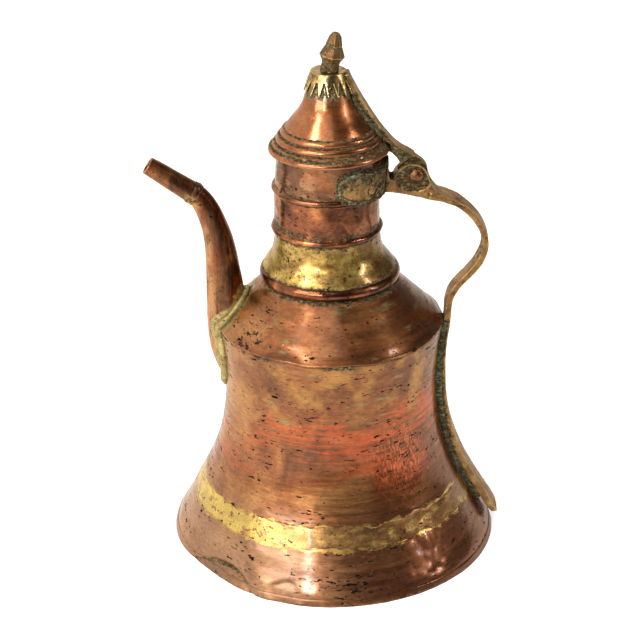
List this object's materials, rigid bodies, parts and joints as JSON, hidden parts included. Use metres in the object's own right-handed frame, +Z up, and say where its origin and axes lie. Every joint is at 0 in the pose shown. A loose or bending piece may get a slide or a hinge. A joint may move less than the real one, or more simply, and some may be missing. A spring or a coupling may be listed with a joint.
{
  "type": "coffee pot",
  "caption": "Bell-shaped copper coffee pot with a long bent spout, a strap handle and a pointed lid hinged at the back of a straight neck.",
  "frame": {"origin": "centre of the flat base, on the face the pot stands on", "axes": "+Z up along the pot's axis, +X towards the handle, so the spout points along -X"},
  "size_m": [0.1854, 0.1758, 0.2798],
  "materials": {
    "copper_body": "hammered, browned copper",
    "copper_neck": "hammered copper with green in the grooves",
    "copper_lid": "worn bright copper",
    "copper_spout": "dark browned copper",
    "brass_seam": "brazing brass, worn",
    "brass_collar": "yellow brass with dark spots",
    "brass_fittings": "cast brass, browned",
    "brass_crown": "polished brass",
    "solder": "grey-green old solder"
  },
  "bodies": {
    "pot": {"base_plate": "copper_body", "foot_skirt": "copper_body", "foot_seam_braze": "brass_seam", "body_wall": "copper_body", "shoulder": "copper_body", "collar_ring": "copper_neck", "collar": "brass_collar", "neck": "copper_neck", "spout_stem": "copper_spout", "spout_tip": "copper_spout", "spout_tip_braze": "brass_seam", "spout_foot_braze": "solder", "neck_clasp": "brass_fittings", "clasp_rivets": "brass_fittings", "handle": "brass_fittings", "tail_solder": "solder", "hinge_pin": "copper_neck"},
    "lid": {"lid_cone": "copper_lid", "lid_sleeve": "copper_lid", "lid_crown": "brass_crown", "finial": "brass_fittings", "finial_washer": "brass_fittings", "lid_strap": "brass_fittings", "strap_solder": "solder"}
  },
  "joints": [
    {"name": "lid_hinge", "type": "hinge", "parent": "pot", "child": "lid", "pos_m": [0.0445, 0, 0.2055], "axis": [0, 1, 0], "range_deg": [0, 110]}
  ]
}
